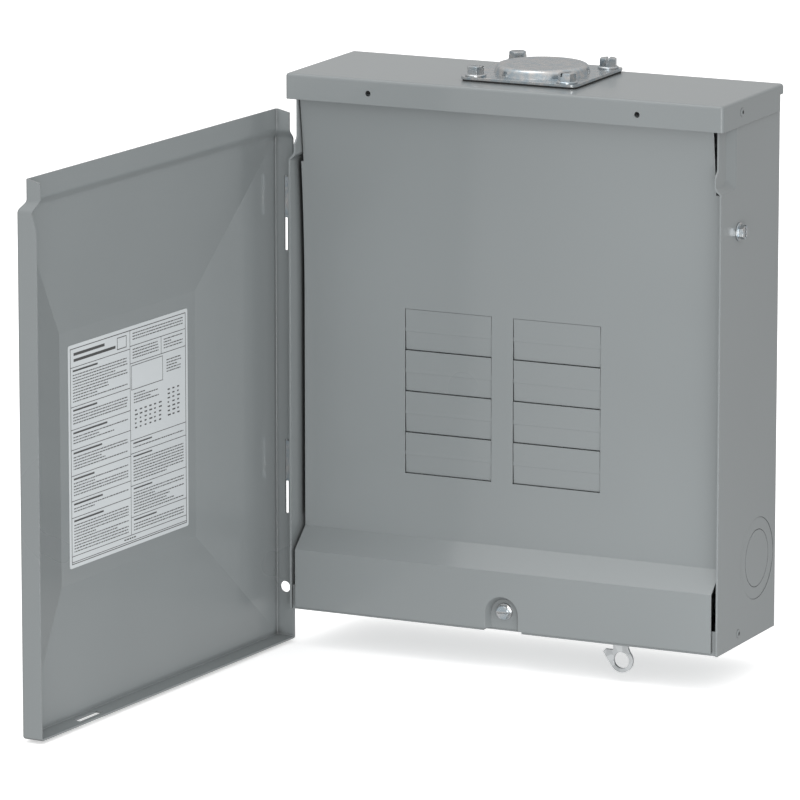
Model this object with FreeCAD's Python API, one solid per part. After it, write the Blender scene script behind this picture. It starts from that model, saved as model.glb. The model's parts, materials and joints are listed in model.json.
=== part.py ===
"""Residential load center: rain-tight enclosure, lift-and-swing door, dead front and interior.

Millimetres, +Z up, +X to the right and -Y towards the person who opens the door.
Origin: middle of the back face's lower edge, on the wall that the box hangs on.
"b" is the distance back from the front edges of the side walls, so y = b - BOX_D.
The parts stand as they do with the door swung open and dropped.
"""

import FreeCAD, Part
import math
import os

V = FreeCAD.Vector

# ---- driving dimensions -------------------------------------------------------------
SHEET = 1.2                 # all sheet steel
GAP = 0.1                   # assembly gap between neighbouring pieces
NEAR = 0.01                 # two lengths closer than this count as equal
BOX_W = 284.0               # outside the side walls
BOX_D = 90.0                # wall front edge to the wall it hangs on
HALF_W = BOX_W / 2
INNER_W = HALF_W - SHEET
BACK_B = BOX_D - SHEET      # inner face of the back
INTERIOR_X = -6.0           # the interior sits a little left of the middle

# walls
WALL_TOP = 328.8            # height at the front edge, below the cap's inner bend
WALL_BEND = 2.4             # outside radius of the two rear corners
POCKET_Z = 279.0            # lower end of the pockets pressed into the wall tops
POCKET_DEPTH = 3.5
POCKET_FLAT = 14.0          # b where the pocket's flat floor ends
POCKET_END = 22.0           # b where its ramp meets the wall again
POCKET_RISE = 4.0           # height of the ramp at its lower end
POCKET_BEND = 2.5
POCKET_CORNER = 6.0         # radius where the two ramps meet
SETBACK = 4.0               # the wall's front edge is cut back beside the door's top band
SETBACK_Z = (288.3, 292.5)  # the slanting stretch that leads there
SETBACK_BEND = 3.0
WALL_HOLE_R = 3.6
WALL_HOLES = [(x, z) for x in (-110.0, 110.0) for z in (40.0, 285.0)]

# concentric knockouts: outer and inner radius
KNOCKOUT_B, KNOCKOUT_Z = 60.0, 48.0
KNOCKOUT_OUTER, KNOCKOUT_INNER = 25.0, 17.5
BOTTOM_KNOCKOUTS = [(-96.0, 58.0), (-42.0, 58.0), (12.0, 58.0)]
BOTTOM_OUTER, BOTTOM_INNER = 17.5, 14.0
KNOCKOUT_GAP = 0.15         # sheared gap around each slug
KNOCKOUT_PROUD = 0.25       # how far the slugs stay pushed in

# rivets and screws of the enclosure, as (b, z)
CAP_RIVET = (27.0, 324.6)
PAN_RIVET = (32.0, 7.4)
RIVET_R = 1.6
RIVET_HOLE_R = RIVET_R + 0.05
RIVET_BORE_R = 1.15         # the blind rivets' hollow middle
SIDE_SCREW = (27.0, 253.0)
SIDE_SCREW_R = 2.4

# rain cap
CAP_LIP_Z = 316.2           # lower edge of the front flange
CAP_TOP_Z = 332.0           # top face at the front
CAP_SLOPE = 0.2             # degrees, falls towards the front
CAP_FRONT = -1.3            # b of the front flange's outer face
CAP_BEND = 2.0
CAP_SIDE_END = 85.3         # b where the side flanges end, below a short lip at the rear
CAP_REAR_LIP = 6.0
CAP_HOLE_X, CAP_HOLE_R = 88.0, 1.75

# hub closure on the cap
HUB_X, HUB_B = 2.0, 53.0    # middle of the plate
HUB_HALF_X, HUB_HALF_B = 38.0, 36.4
HUB_CORNER_R = 4.0
HUB_SCREW_HALF = 30.0
HUB_SCREW_R = 3.1
HUB_OPENING_R = 26.0
GASKET_T = 1.0
PLATE_T = 1.6
DOME_BASE_R, DOME_TOP_R, DOME_H = 29.4, 27.6, 5.2
DOME_EDGE_R = 3.0

# dead front and twist-outs
DEAD_B = 14.3               # its front face
DEAD_LEFT, DEAD_RIGHT = -138.4, 137.8
DEAD_TOP = 322.0
DEAD_NOTCH_Z = 276.7        # above this it narrows to pass the wall pockets
NARROW_LEFT, NARROW_RIGHT = -136.8, 134.4
DEAD_LOW = 1.6              # its lower edge
LEAN_R, LEAN_Z = 876.0, 191.0      # above this height the face curves gently forwards
STEP_HIGH, STEP_LOW = 50.0, 37.5   # the slope that brings its lower part forward to b = 0
TWIST_W = 57.6
TWIST_PITCH = 25.4          # one inch per breaker space
TWIST_ROWS = 4
TWIST_TOP = 190.7
TWIST_GAP = 0.3             # sheared gap around each plate
TWIST_IN = 0.9              # how far each plate's lower edge is pushed in
TIE_GAP = 0.02
COLUMN_GAP = 14.2
RAIL_B = 23.6               # cross rail that its top hooks over
RAIL_LOW = 303.0
DEAD_SCREW = (0.6, 12.2)    # x and z
DEAD_SCREW_R = 2.4
U_R = 8.6                   # U-shaped recess around the screw, at its floor
U_DRAFT = 0.5               # its wall runs outwards by this much per millimetre of depth
U_FLOOR = 4.6

# bottom pan
PAN_FRONT = 1.6
PAN_LIP = 15.0
TAB_X = (DEAD_SCREW[0] - 10.0, DEAD_SCREW[0] + 10.0)
TAB_B, TAB_H = 6.1, 21.0
TAB_RELIEF = 2.6

# interior
PAN_FACE = 76.8             # b of the interior pan's face
PAN_Z = (54.0, 238.0)
PAN_HALF = 74.0
FOOT_X = (INTERIOR_X - 82.0, INTERIOR_X + 82.0)
FOOT_Z = (72.0, 216.0)
BACK_SCREW_R = 2.0
BAR_Z = (80.0, 224.0)
BAR_B = (61.5, 63.9)
ARM_B = (55.5, 58.0)
BLADE_TIP = 36.0
BLADE_T = 1.6
BAR_A_X = (INTERIOR_X - 18.0, INTERIOR_X - 7.0)
BAR_B_X = (INTERIOR_X + 7.0, INTERIOR_X + 18.0)
HOOK_RAIL_Z = (84.0, 196.0)
LUG_R = 5.6                 # wire bore
LUG_B = (40.0, 61.4)
LUG_BORE_B = 53.0
LUG_Z = (214.0, 238.0)
LUG_MID_Z = (LUG_Z[0] + LUG_Z[1]) / 2
LUG_SCREW_R = 4.4
BAR_HALF = 5.0              # half width of the neutral and ground bars
TERMINAL_R = 2.2
NEUTRAL_X = 97.0
NEUTRAL_B = (62.0, 72.0)
NEUTRAL_Z = (88.0, 213.9)
NEUTRAL_WAYS = 12
GROUND_X = -107.0
GROUND_B = (78.7, BACK_B - 0.05)
GROUND_Z = (80.0, 184.0)
GROUND_WAYS = 8
GROUND_SCREW_Z = (86.0, 178.0)
STRAP_T = 1.2
STRAP_SCREW_Z = 62.0

# door
DOOR_H = 329.5
DOOR_Z = -21.5              # lower face of the dropped door
DOOR_FRONT = -2.0           # b of the closed door's outer face
DOOR_SIDE_GAP = 1.55        # between the door's side flanges and the walls
DOOR_FLANGE = 13.4
DOOR_BEND = 1.8
DOOR_LOW_BEND = 1.7         # along its lower edge
DOOR_HOLE_R = 3.5
BAND_H = 12.0               # straight part of the stepped-in top band
BAND_RAMP = 7.0
RAMP_STEPS = 6              # flat strips that make up the ramp's double bend
BAND_IN = 4.4               # the band's side flanges sit this far inwards
BAND_BACK = 3.5             # and its face this far back
BAND_LOW = DOOR_Z + DOOR_H - BAND_H
RAMP_LOW = BAND_LOW - BAND_RAMP
FLANGE_FALL = 1.8           # the side flanges' tops slope down to their free edges
NOTCH_B, NOTCH_H = 3.0, 10.5   # taper in the free side's flange below the ramp
BULGE = 2.2                 # the panel rises outwards, in four slopes, to a flat middle
BULGE_MARGIN = 4.0          # from the panel's edges to the foot of the slopes
BULGE_ROUND_LABEL = 9.0     # from the label to the slopes' upper end
OPEN_ANGLE = 94.0           # how far the door stands open here
LABEL_SIZE, LABEL_T = 133.0, 0.2
LABEL_FROM_EDGE = 55.0
LABEL_FROM_BOTTOM = 89.5

# hinges
HINGE_OUT = 2.1             # pin axis outside the left wall
HINGE_B = 12.1              # pin axis behind the wall's front edge
HINGE_RIVET_B = 21.5
HOOK_H = 25.2
HOOK_SHEET = 0.8
HOOK_TOPS = (266.3, 102.6)  # top edges of the upper and lower hook
PIN_R = 0.9
PIN_RELIEF = 2.5            # extra height of the door's relief around ears and pin heads
SLOT_H = 46.0               # hook height plus the door's lift, with play at both ends
HOOK_SLOT_B = (5.5, 7.7)
EAR = 1.2
EAR_R = 1.8
EAR_GAP = 0.15
BRACKET_B = (15.0, 27.0)

# hasp
HASP_X = 77.2               # middle of the hasp's stem
HASP_B = 5.5
HASP_T = 2.0
STEM_HALF = 4.8
HASP_PIVOT = (HASP_X - 2.5, 22.0)
HASP_HEAD_R = 7.0
HASP_RIVET_R = 2.5
HASP_FOOT_B = 17.0
HASP_BRACKET_B = HASP_B + HASP_T / 2 + 0.3
HASP_BRACKET_T = 1.5
HASP_SLOT_X = (HASP_X - STEM_HALF - 0.5, HASP_X + 13.6)
BARB_TOP = -3.9             # the latched door rests on this edge
BARB_TIP = (HASP_X - 11.4, -5.6)
RING_R = 7.4
RING_HOLE_R = 5.0
RING_X = HASP_X + 0.6
RING_Z = -9.9
DOOR_SLOT_X = (71.8, 97.4)  # slot in the door's bottom flange, with the door closed
DOOR_SLOT_B = (3.0, 8.0)


# ---- helpers ------------------------------------------------------------------------
def block(x, b, z):
    """Box from (low, high) pairs."""
    return Part.makeBox(x[1] - x[0], b[1] - b[0], z[1] - z[0], V(x[0], b[0] - BOX_D, z[0]))


def rod(x, b, z, radius, length, axis):
    """Cylinder that starts at a point and runs along axis."""
    return Part.makeCylinder(radius, length, V(x, b - BOX_D, z), V(*axis))


def prism(points, sweep):
    """Closed outline of vectors, extruded by a vector."""
    return Part.Face(Part.makePolygon(points + points[:1])).extrude(sweep)


def profile_x(points, x):
    """Outline of (b, z) points, extruded between two x values."""
    return prism([V(x[0], b - BOX_D, z) for b, z in points], V(x[1] - x[0], 0, 0))


def plan(points, z):
    """Outline of (x, b) points, extruded between two heights."""
    return prism([V(x, b - BOX_D, z[0]) for x, b in points], V(0, 0, z[1] - z[0]))


def front_view(points, b):
    """Outline of (x, z) points, extruded between two b values."""
    return prism([V(x, b[0] - BOX_D, z) for x, z in points], V(0, b[1] - b[0], 0))


def near(a, b):
    return abs(a - b) < NEAR


def upright(p, q, length=5.0):
    """Whether an edge rises by more than length between its ends."""
    return abs(p.z - q.z) > length


def join(shapes):
    """One solid from touching or overlapping ones."""
    result = shapes[0].fuse(shapes[1:]) if len(shapes) > 1 else shapes[0]
    return result.removeSplitter()


def cut(shape, tools):
    return shape.cut(tools) if tools else shape


def mirrored(shape):
    """The same shape on the other side of the x = 0 plane."""
    return shape.mirror(V(0, 0, 0), V(1, 0, 0))


def placed(shape, x, b, z, direction=(0, 0, 1)):
    """Copy of a shape built along +Z, moved to a point and turned to a direction."""
    moved = shape.copy()
    turn = FreeCAD.Rotation(V(0, 0, 1), V(*direction))
    moved.Placement = FreeCAD.Placement(V(x, b - BOX_D, z), turn)
    return moved


def round_edges(shape, radius, chosen):
    """Fillet the straight edges that a test picks by their two end points."""
    edges = []
    for edge in shape.Edges:
        if len(edge.Vertexes) == 2 and chosen(edge.Vertexes[0].Point, edge.Vertexes[1].Point):
            edges.append(edge)
    return shape.makeFillet(radius, edges)


def hex_washer_screw(flats, head, washer_r, washer_t, shank_r, length, slot):
    """Slotted hex washer-head screw along +Z, seated on z = 0."""
    corner = flats / math.sqrt(3)
    angles = [math.radians(60 * k) for k in range(6)]
    ring = [V(corner * math.cos(a), corner * math.sin(a), washer_t) for a in angles]
    hexagon = prism(ring, V(0, 0, head))
    top_r = flats * 0.47
    crown = Part.makeCone(top_r + head * math.sqrt(3), top_r, head, V(0, 0, washer_t))
    hexagon = hexagon.common(crown)
    washer = Part.makeCylinder(washer_r, washer_t)
    washer = washer.makeChamfer(washer_t * 0.35, [washer.Edges[0]])
    shank = Part.makeCylinder(shank_r, length, V(0, 0, -length))
    screw = join([washer, hexagon, shank])
    groove = Part.makeBox(3 * flats, slot, head, V(-1.5 * flats, -slot / 2, washer_t + head * 0.55))
    return screw.cut(groove)


def pan_head_screw(head_r, head, shank_r, length, slot):
    """Slotted pan-head screw along +Z, seated on z = 0."""
    cap = Part.makeCylinder(head_r, head)
    cap = cap.makeFillet(head * 0.45, [cap.Edges[0]])
    screw = cap.fuse(Part.makeCylinder(shank_r, length, V(0, 0, -length))).removeSplitter()
    groove = Part.makeBox(3 * head_r, slot, head, V(-1.5 * head_r, -slot / 2, head * 0.5))
    return screw.cut(groove)


def rivet(head_r, head, shank_r, grip, bore_r=0):
    """Rivet along +Z with its formed tail beyond the grip; a blind rivet is bored from its head."""
    dome_r = (head_r ** 2 + head ** 2) / (2 * head)
    dome = Part.makeSphere(dome_r, V(0, 0, head - dome_r))
    dome = dome.common(Part.makeCylinder(head_r, head))
    shank = Part.makeCylinder(shank_r, grip)
    shank.translate(V(0, 0, -grip))
    tail = Part.makeCylinder(head_r * 0.85, head * 0.8, V(0, 0, -grip - head * 0.8))
    solid = join([dome, shank, tail])
    if not bore_r:
        return solid
    return solid.cut(Part.makeCylinder(bore_r, grip + head, V(0, 0, -grip)))


def tilted(shape):
    """Turn a piece that sits on the rain cap to the cap's slope."""
    turned = shape.copy()
    turned.rotate(V(0, CAP_FRONT - BOX_D, CAP_LIP_Z), V(1, 0, 0), CAP_SLOPE)
    return turned


def opened(shape):
    """Turn a closed door piece about the hinge pins to the angle it stands at here."""
    turned = shape.copy()
    turned.rotate(V(-HALF_W - HINGE_OUT, HINGE_B - BOX_D, 0), V(0, 0, 1), -OPEN_ANGLE)
    return turned


# ---- enclosure ----------------------------------------------------------------------
def pocket(extra):
    """Volume pressed in at the top of the right wall; extra grows it by the sheet thickness."""
    deep = HALF_W - POCKET_DEPTH - extra
    across = [
        (HALF_W, -1), (deep, -1), (deep, POCKET_FLAT + extra), (HALF_W, POCKET_END + extra),
    ]
    sides = plan(across, (POCKET_Z - extra, WALL_TOP + 10))
    rise = [
        (HALF_W, POCKET_Z - extra), (deep, POCKET_Z + POCKET_RISE - extra),
        (deep, WALL_TOP + 10), (HALF_W, WALL_TOP + 10),
    ]
    ends = front_view(rise, (-1, POCKET_END + extra + 1))
    shape = sides.common(ends)

    def corner(p, q):
        low, high = sorted((p, q), key=lambda v: v.z)
        return near(low.x, HALF_W) and near(high.x, deep) and low.y > high.y + 1

    def bend(p, q):
        on_floor = near(p.x, deep) and near(q.x, deep)
        at_foot = max(p.z, q.z) < POCKET_Z + POCKET_RISE + 1
        at_ramp = near(p.y, q.y) and p.y > -BOX_D
        return on_floor and (at_foot or at_ramp)

    shape = round_edges(shape, POCKET_CORNER + extra, corner)
    return round_edges(shape, POCKET_BEND + extra, bend)


def below_cap():
    """Everything under the sloping underside of the cap."""
    rise = math.tan(math.radians(CAP_SLOPE))
    front = -5
    outline = [(front, 0), (BOX_D, 0), (BOX_D, WALL_TOP + rise * BOX_D), (front, WALL_TOP + rise * front)]
    return profile_x(outline, (-HALF_W, HALF_W))


def rear_corners_rounded(shape, radius, y):
    """Round the two upright corners at a given y."""
    return round_edges(shape, radius, lambda p, q: near(p.y, y) and near(q.y, y) and upright(p, q))


def set_back(shell):
    """Cut the walls' front edges back at the top, along a smooth double bend."""
    low, high = SETBACK_Z
    notch = [(0, low), (SETBACK, high), (SETBACK, WALL_TOP + 12), (-1, WALL_TOP + 12), (-1, low)]
    shell = shell.cut(profile_x(notch, (-HALF_W - 1, HALF_W + 1)))

    def kink(p, q):
        level = near(p.z, q.z) and (near(p.z, low) or near(p.z, high))
        return level and near(p.y, q.y) and p.y < SETBACK - BOX_D + NEAR

    return round_edges(shell, SETBACK_BEND, kink)


def box_shell():
    """Side walls and back, bent from one sheet."""
    outer = block((-HALF_W, HALF_W), (0, BOX_D), (0, WALL_TOP + 10))
    outer = rear_corners_rounded(outer, WALL_BEND, 0)
    inner = block((-INNER_W, INNER_W), (-1, BACK_B), (-1, WALL_TOP + 11))
    inner = rear_corners_rounded(inner, WALL_BEND - SHEET, -SHEET)
    shell = outer.cut(inner)
    front = block((-HALF_W, HALF_W), (0, POCKET_END + 5), (0, WALL_TOP + 10))
    pressed = pocket(SHEET).common(front)
    shell = join([shell, pressed, mirrored(pressed)])
    shell = cut(shell, [pocket(0), mirrored(pocket(0))])
    shell = set_back(shell).common(below_cap())
    holes = []
    for side in (-1, 1):
        start = side * (INNER_W - 5)
        out = (side, 0, 0)
        holes.append(rod(start, KNOCKOUT_B, KNOCKOUT_Z, KNOCKOUT_OUTER, 10, out))
        holes.append(rod(start, CAP_RIVET[0], CAP_RIVET[1], RIVET_HOLE_R, 10, out))
        holes.append(rod(start, PAN_RIVET[0], PAN_RIVET[1], RIVET_HOLE_R, 10, out))
    holes.append(rod(INNER_W - 5, SIDE_SCREW[0], SIDE_SCREW[1], SIDE_SCREW_R + 0.05, 10, (1, 0, 0)))
    for top in HOOK_TOPS:
        for z in hinge_rivet_heights(top):
            holes.append(rod(-INNER_W + 5, HINGE_RIVET_B, z, RIVET_HOLE_R, 10, (-1, 0, 0)))
    for x, z in WALL_HOLES:
        holes.append(rod(x, BACK_B - 5, z, WALL_HOLE_R, 10, (0, 1, 0)))
    for x, z, radius in back_screw_points():
        holes.append(rod(x, BACK_B - 5, z, radius + 0.05, 10, (0, 1, 0)))
    return cut(shell, holes)


def bottom_pan():
    """Bottom of the box: a tray with lips on all sides and a tab for the dead front's screw."""
    half = INNER_W - GAP
    plate = block((-half, half), (PAN_FRONT, BACK_B - GAP), (0, SHEET))
    side_lip = block((half - SHEET, half), (PAN_FRONT, BACK_B - GAP), (0, PAN_LIP))
    back_lip = block((-half, half), (BACK_B - GAP - SHEET, BACK_B - GAP), (0, PAN_LIP))
    left_lip = block((-half, TAB_X[0] - TAB_RELIEF), (PAN_FRONT, PAN_FRONT + SHEET), (0, PAN_LIP))
    right_lip = block((TAB_X[1] + TAB_RELIEF, half), (PAN_FRONT, PAN_FRONT + SHEET), (0, PAN_LIP))
    tab = block(TAB_X, (TAB_B, TAB_B + SHEET), (0, TAB_H))
    inside = block((-half, half), (1, BACK_B - GAP), (0, PAN_LIP + 5))
    inside = rear_corners_rounded(inside, WALL_BEND - SHEET + 2 * GAP, -SHEET - GAP)
    lips = [side_lip, mirrored(side_lip), back_lip, left_lip, right_lip]
    pan = join([plate, tab] + lips).common(inside)
    tools = [block((TAB_X[0] - TAB_RELIEF, TAB_X[1] + TAB_RELIEF), (1, TAB_B), (-1, SHEET + 1))]
    tools.append(block(HASP_SLOT_X, (HASP_B - 1.5, HASP_B + 1.5), (-1, SHEET + 1)))
    tools.append(rod(DEAD_SCREW[0], 0, DEAD_SCREW[1], DEAD_SCREW_R + 0.05, 12, (0, 1, 0)))
    for x, b in BOTTOM_KNOCKOUTS:
        tools.append(rod(x, b, -2, BOTTOM_OUTER, 6, (0, 0, 1)))
    for side in (-1, 1):
        tools.append(rod(side * 130, PAN_RIVET[0], PAN_RIVET[1], RIVET_HOLE_R, 15, (side, 0, 0)))
    tools.append(rod(HASP_X, HASP_FOOT_B, -2, RIVET_HOLE_R, 6, (0, 0, 1)))
    return cut(pan, tools)


def cap_bends_rounded(shape, radius, front, top):
    """Round the bends along the top and the two upright front corners."""
    def bend(p, q):
        along_top = near(p.z, top) and near(q.z, top) and min(p.y, q.y) < -1
        front_corner = near(p.y + BOX_D, front) and near(q.y + BOX_D, front) and upright(p, q)
        return along_top or front_corner

    return round_edges(shape, radius, bend)


def rain_cap():
    """Sloping lid with a front flange and side flanges outside the walls."""
    half = HALF_W + GAP + SHEET
    length = BOX_D - 0.2
    outer = block((-half, half), (CAP_FRONT, length), (CAP_LIP_Z, CAP_TOP_Z))
    outer = cap_bends_rounded(outer, CAP_BEND, CAP_FRONT, CAP_TOP_Z)
    inner_front, inner_top = CAP_FRONT + SHEET, CAP_TOP_Z - SHEET
    inner = block((-half + SHEET, half - SHEET), (inner_front, length + 1), (CAP_LIP_Z - 1, inner_top))
    inner = cap_bends_rounded(inner, CAP_BEND - SHEET, inner_front, inner_top)
    cap = outer.cut(inner)
    tools = [rod(HUB_X, HUB_B, CAP_TOP_Z - 4, HUB_OPENING_R, 8, (0, 0, 1))]
    for x, b in hub_screw_points():
        tools.append(rod(x, b, CAP_TOP_Z - 4, HUB_SCREW_R + 0.05, 8, (0, 0, 1)))
    for x in (-CAP_HOLE_X, CAP_HOLE_X):
        tools.append(rod(x, CAP_FRONT - 2, CAP_LIP_Z + 7, CAP_HOLE_R, 6, (0, 1, 0)))
    lip_low = CAP_TOP_Z - CAP_REAR_LIP
    tools.append(block((-half - 1, half + 1), (CAP_SIDE_END, BOX_D + 1), (CAP_LIP_Z - 1, lip_low)))
    cap = tilted(cut(cap, tools))
    holes = []
    for side in (-1, 1):
        holes.append(rod(side * (HALF_W - 4), CAP_RIVET[0], CAP_RIVET[1], RIVET_HOLE_R, 8, (side, 0, 0)))
    return cut(cap, holes)


def cap_rivets():
    grip = SHEET + GAP + SHEET
    one = rivet(2.7, 0.8, RIVET_R, grip + 0.1, RIVET_BORE_R)
    outside = HALF_W + GAP + SHEET + 0.05
    return Part.makeCompound([
        placed(one, side * outside, CAP_RIVET[0], CAP_RIVET[1], (side, 0, 0)) for side in (-1, 1)
    ])


def pan_rivets():
    grip = SHEET + GAP + SHEET
    one = rivet(2.7, 0.8, RIVET_R, grip + 0.1, RIVET_BORE_R)
    outside = HALF_W + 0.05
    return Part.makeCompound([
        placed(one, side * outside, PAN_RIVET[0], PAN_RIVET[1], (side, 0, 0)) for side in (-1, 1)
    ])


def slug_pair(outer, inner, thickness):
    """Ring and centre disc of a concentric knockout, lying on z = 0, with their break-off ties."""
    ring = Part.makeCylinder(outer - KNOCKOUT_GAP, thickness)
    ring = ring.cut(Part.makeCylinder(inner + KNOCKOUT_GAP, thickness))
    disc = Part.makeCylinder(inner - KNOCKOUT_GAP, thickness)
    solids = []
    for shape, radius, turn in ((ring, outer, 20), (disc, inner, 110)):
        tie = Part.makeBox(2 * radius - 0.1, 1.6, thickness * 0.6, V(0.05 - radius, -0.8, thickness * 0.2))
        keep = Part.makeCylinder(radius - 0.02, thickness)
        keep = keep.cut(Part.makeCylinder(radius - 1.0, thickness))
        tie = tie.common(keep)
        tie.rotate(V(0, 0, 0), V(0, 0, 1), turn)
        solids.append(join([shape] + tie.Solids))
    return solids


def wall_slugs(side):
    slugs = slug_pair(KNOCKOUT_OUTER, KNOCKOUT_INNER, SHEET)
    base = side * (INNER_W - KNOCKOUT_PROUD)
    return Part.makeCompound([placed(s, base, KNOCKOUT_B, KNOCKOUT_Z, (side, 0, 0)) for s in slugs])


def bottom_slugs():
    slugs = slug_pair(BOTTOM_OUTER, BOTTOM_INNER, SHEET)
    return Part.makeCompound([placed(s, x, b, KNOCKOUT_PROUD) for x, b in BOTTOM_KNOCKOUTS for s in slugs])


# ---- hub closure on the cap ---------------------------------------------------------
def hub_screw_points():
    offsets = (-HUB_SCREW_HALF, HUB_SCREW_HALF)
    return [(HUB_X + x, HUB_B + b) for x in offsets for b in offsets]


def hub_outline(inset, thickness, z):
    half_x, half_b = HUB_HALF_X - inset, HUB_HALF_B - inset
    plate = block((HUB_X - half_x, HUB_X + half_x), (HUB_B - half_b, HUB_B + half_b), (z, z + thickness))
    return round_edges(plate, HUB_CORNER_R, lambda p, q: upright(p, q, thickness / 2))


def hub_gasket():
    plate = hub_outline(0.6, GASKET_T, CAP_TOP_Z + 0.02)
    tools = [rod(HUB_X, HUB_B, CAP_TOP_Z - 1, HUB_OPENING_R, 6, (0, 0, 1))]
    tools += [rod(x, b, CAP_TOP_Z - 1, HUB_SCREW_R + 0.2, 6, (0, 0, 1)) for x, b in hub_screw_points()]
    return tilted(cut(plate, tools))


def hub_closure_plate():
    z = CAP_TOP_Z + GASKET_T + 0.04
    plate = hub_outline(0, PLATE_T, z)
    centre = V(HUB_X, HUB_B - BOX_D, z)
    rise = DOME_H + PLATE_T
    dome = Part.makeCone(DOME_BASE_R, DOME_TOP_R, rise, centre)
    rim = [edge for edge in dome.Edges if edge.Closed and near(edge.Vertexes[0].Point.z, z + rise)]
    dome = dome.makeFillet(DOME_EDGE_R, rim)
    hollow = Part.makeCone(DOME_BASE_R - PLATE_T, DOME_TOP_R - PLATE_T, rise - PLATE_T, centre)
    body = join([plate, dome]).cut(hollow)
    tools = [rod(x, b, z - 1, HUB_SCREW_R + 0.2, 6, (0, 0, 1)) for x, b in hub_screw_points()]
    return tilted(cut(body, tools))


def hub_screws():
    screw = hex_washer_screw(9.5, 5.0, 6.4, 1.2, HUB_SCREW_R, 9.0, 1.4)
    z = CAP_TOP_Z + GASKET_T + PLATE_T + 0.08
    return Part.makeCompound([
        tilted(spun(screw, 35 * k, x, b, z)) for k, (x, b) in enumerate(hub_screw_points())
    ])


def spun(screw, angle, x, b, z):
    """Screw along +Z, turned about its own axis before it is placed."""
    turned = screw.copy()
    turned.rotate(V(0, 0, 0), V(0, 0, 1), angle)
    turned.translate(V(x, b - BOX_D, z))
    return turned


def side_bonding_screw():
    screw = hex_washer_screw(7.9, 3.4, 5.5, 1.0, SIDE_SCREW_R, 9.0, 1.2)
    screw.rotate(V(0, 0, 0), V(0, 0, 1), 25)
    return placed(screw, HALF_W + 0.05, SIDE_SCREW[0], SIDE_SCREW[1], (1, 0, 0))


# ---- dead front ---------------------------------------------------------------------
def twist_columns():
    first = INTERIOR_X - COLUMN_GAP / 2 - TWIST_W
    return [first, first + TWIST_W + COLUMN_GAP]


def screw_pocket(extra, front):
    """Upside-down U around the dead front's screw, widening forwards; extra grows it by a thickness."""
    x, z = DEAD_SCREW[0], DEAD_SCREW[1] - 1.1
    floor = U_FLOOR + extra
    inner_r = U_R + extra
    outer_r = inner_r + U_DRAFT * (floor - front)
    cone = Part.makeCone(outer_r, inner_r, floor - front, V(x, front - BOX_D, z), V(0, 1, 0))
    upper = cone.common(block((x - 20, x + 20), (front, floor), (z, z + 20)))
    corners = [(x - outer_r, front), (x + outer_r, front), (x + inner_r, floor), (x - inner_r, floor)]
    return join([upper, plan(corners, (DEAD_LOW, z))])


def before_face(extra):
    """Everything in front of the flat and the leaning part; extra moves its limit back."""
    x = (DEAD_LEFT - 1, DEAD_RIGHT + 1)
    flat = block(x, (DEAD_B - 40, DEAD_B + extra), (STEP_HIGH, LEAN_Z))
    curve = rod(x[0], DEAD_B - LEAN_R, LEAN_Z, LEAN_R + extra, x[1] - x[0], (1, 0, 0))
    leaning = curve.common(block(x, (DEAD_B - 40, DEAD_B + extra), (LEAN_Z, DEAD_TOP)))
    return join([flat, leaning])


def dead_front():
    """Cover over the interior: leaning top, flat face, slope, and a lower part that stands forward."""
    t = SHEET
    width = (DEAD_LEFT, DEAD_RIGHT)
    lean = t * math.tan(math.atan2(DEAD_B, STEP_HIGH - STEP_LOW) / 2)
    lower = profile_x([
        (DEAD_B, STEP_HIGH), (0, STEP_LOW), (0, DEAD_LOW), (t, DEAD_LOW),
        (t, STEP_LOW - lean), (DEAD_B + t, STEP_HIGH - lean), (DEAD_B + t, STEP_HIGH),
    ], width)
    tall = (STEP_HIGH, DEAD_TOP)
    face = block(width, (0, DEAD_B + t), tall).common(before_face(t)).cut(before_face(0))
    flange = block(width, (0, RAIL_B + t + 1.6), (DEAD_TOP - t, DEAD_TOP))
    pieces = [lower, face, flange.cut(before_face(0))]
    for x in ((DEAD_LEFT, DEAD_LEFT + t), (DEAD_RIGHT - t, DEAD_RIGHT)):
        stiffener = block(x, (0, DEAD_B + 8), (STEP_HIGH + 6, DEAD_NOTCH_Z))
        pieces.append(stiffener.cut(before_face(0)))
    tab_b = RAIL_B + t + 0.4
    pieces += [block((x - 9, x + 9), (tab_b, tab_b + t), (DEAD_TOP - 7, DEAD_TOP)) for x in (-90, 90)]
    front = join(pieces + [screw_pocket(t, t)])
    tools = [screw_pocket(0, -1)]
    for x in ((DEAD_LEFT - 1, NARROW_LEFT), (NARROW_RIGHT, DEAD_RIGHT + 1)):
        tools.append(block(x, (-1, RAIL_B + 20), (DEAD_NOTCH_Z, DEAD_TOP + 1)))
    tools.append(rod(DEAD_SCREW[0], -1, DEAD_SCREW[1], DEAD_SCREW_R + 0.2, 12, (0, 1, 0)))
    low = TWIST_TOP - TWIST_PITCH * TWIST_ROWS
    for x in twist_columns():
        tools.append(block((x, x + TWIST_W), (DEAD_B - 1, DEAD_B + t + 1), (low, TWIST_TOP)))
    return cut(front, tools)


def twistout_plates():
    """Eight break-out plates, pushed in at their lower edges and held by two ties at their ends."""
    edge = TWIST_GAP
    lean = math.degrees(math.atan2(TWIST_IN, TWIST_PITCH))
    plates = []
    for x in twist_columns():
        for row in range(TWIST_ROWS):
            top = TWIST_TOP - row * TWIST_PITCH
            low = top - TWIST_PITCH
            span = (x + edge, x + TWIST_W - edge)
            plate = block(span, (DEAD_B + 0.1, DEAD_B + 0.1 + SHEET), (low + edge, top - edge / 2))
            plate.rotate(V(0, DEAD_B - BOX_D, top), V(1, 0, 0), lean)
            middle = (low + top) / 2
            tie_span = (x + TIE_GAP, x + TWIST_W - TIE_GAP)
            tie = block(tie_span, (DEAD_B + 0.5, DEAD_B + 1.1), (middle - 1.2, middle + 1.2))
            plates.append(join([plate, tie]))
    return Part.makeCompound(plates)


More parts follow.
